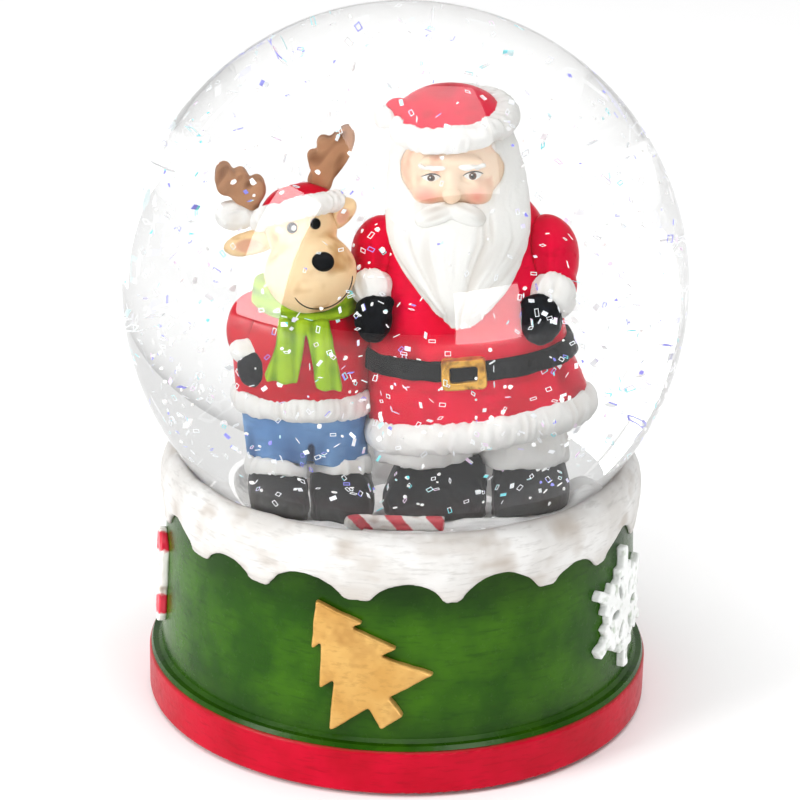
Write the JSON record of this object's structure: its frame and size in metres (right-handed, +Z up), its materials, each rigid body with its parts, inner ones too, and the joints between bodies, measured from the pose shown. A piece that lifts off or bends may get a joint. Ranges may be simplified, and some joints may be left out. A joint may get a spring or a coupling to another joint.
{
  "type": "snow globe",
  "caption": "Water-filled glass snow globe on a round painted base, with a standing Santa and a reindeer inside and loose flakes.",
  "frame": {"origin": "on the resting face, under the centre of the ball", "axes": "+Z up through the ball, the figures face -Y"},
  "size_m": [0.1, 0.1, 0.1274],
  "materials": {
    "antler_brown": "matte brown paint",
    "beard_white": "matte white",
    "belt_black": "glossy black paint",
    "boot_black": "satin black paint",
    "buckle_gold": "gold paint",
    "clear_glass": "clear, polished",
    "coat_red": "satin red paint",
    "collar_white": "matte off-white, grey wash in the hollows",
    "cover_board": "plain grey board",
    "drum_green": "glossy lacquer over green, darkened in the low places",
    "fawn": "satin tan paint",
    "fur_white": "matte white, combed",
    "glitter": "iridescent film",
    "glue_clear": "clear silicone",
    "ground_cane_paint": "white with red stripes",
    "ground_white": "matte white, slightly rough",
    "liquid": "clear water",
    "mitten_black": "satin black paint",
    "nose_black": "glossy black paint",
    "pad_felt": "short green felt",
    "plinth_red": "satin crimson paint",
    "relief_cane": "white paint with red bands",
    "relief_gold": "brushed-on gold paint",
    "relief_white": "matte white paint",
    "scarf_green": "satin lime green paint",
    "skin": "satin skin-tone paint",
    "snow_chip": "white flakes",
    "stopper_rubber": "black rubber",
    "sweater_red": "satin red paint",
    "trousers_blue": "matte blue paint"
  },
  "bodies": {
    "base": {"base_cover": "cover_board", "base_drum": "drum_green", "cane_relief_back": "relief_cane", "cane_relief_left": "relief_cane", "foot_pad": "pad_felt", "glass_globe": "clear_glass", "glue_bead": "glue_clear", "ground_cane": "ground_cane_paint", "plinth_ring": "plinth_red", "reindeer_antler_left": "antler_brown", "reindeer_antler_right": "antler_brown", "reindeer_boot_left": "boot_black", "reindeer_boot_right": "boot_black", "reindeer_boot_tops": "fur_white", "reindeer_cap": "sweater_red", "reindeer_cap_pompom": "fur_white", "reindeer_cap_trim": "fur_white", "reindeer_cuff": "fur_white", "reindeer_ear_left": "fawn", "reindeer_ear_right": "fawn", "reindeer_eyes": "nose_black", "reindeer_head": "fawn", "reindeer_hem_trim": "fur_white", "reindeer_mitten": "mitten_black", "reindeer_nose": "nose_black", "reindeer_scarf": "scarf_green", "reindeer_scarf_tails": "scarf_green", "reindeer_sleeve": "sweater_red", "reindeer_sweater": "sweater_red", "reindeer_trousers": "trousers_blue", "santa_beard": "beard_white", "santa_belt": "belt_black", "santa_boot_left": "boot_black", "santa_boot_right": "boot_black", "santa_boot_tops": "fur_white", "santa_buckle": "buckle_gold", "santa_coat": "coat_red", "santa_cuff_left": "fur_white", "santa_cuff_right": "fur_white", "santa_face": "skin", "santa_hat": "coat_red", "santa_hat_trim": "fur_white", "santa_hem_trim": "fur_white", "santa_mitten_left": "mitten_black", "santa_mitten_right": "mitten_black", "santa_moustache": "beard_white", "santa_nose": "skin", "santa_pompom": "fur_white", "santa_sleeve_left": "coat_red", "santa_sleeve_right": "coat_red", "snow_collar": "collar_white", "snow_mound": "ground_white", "snowflake_relief_back": "relief_white", "snowflake_relief_right": "relief_white", "stopper": "stopper_rubber", "tree_relief": "relief_gold"},
    "swirl": {"liquid_fill": "liquid", "glitter_flakes": "glitter", "snow_flakes": "snow_chip"}
  },
  "joints": [
    {"name": "swirl_turn", "type": "hinge", "parent": "base", "child": "swirl", "pos_m": [0, 0, 0.0774], "axis": [0, 0, 1], "continuous": true, "deforming": ["liquid_fill"]}
  ]
}
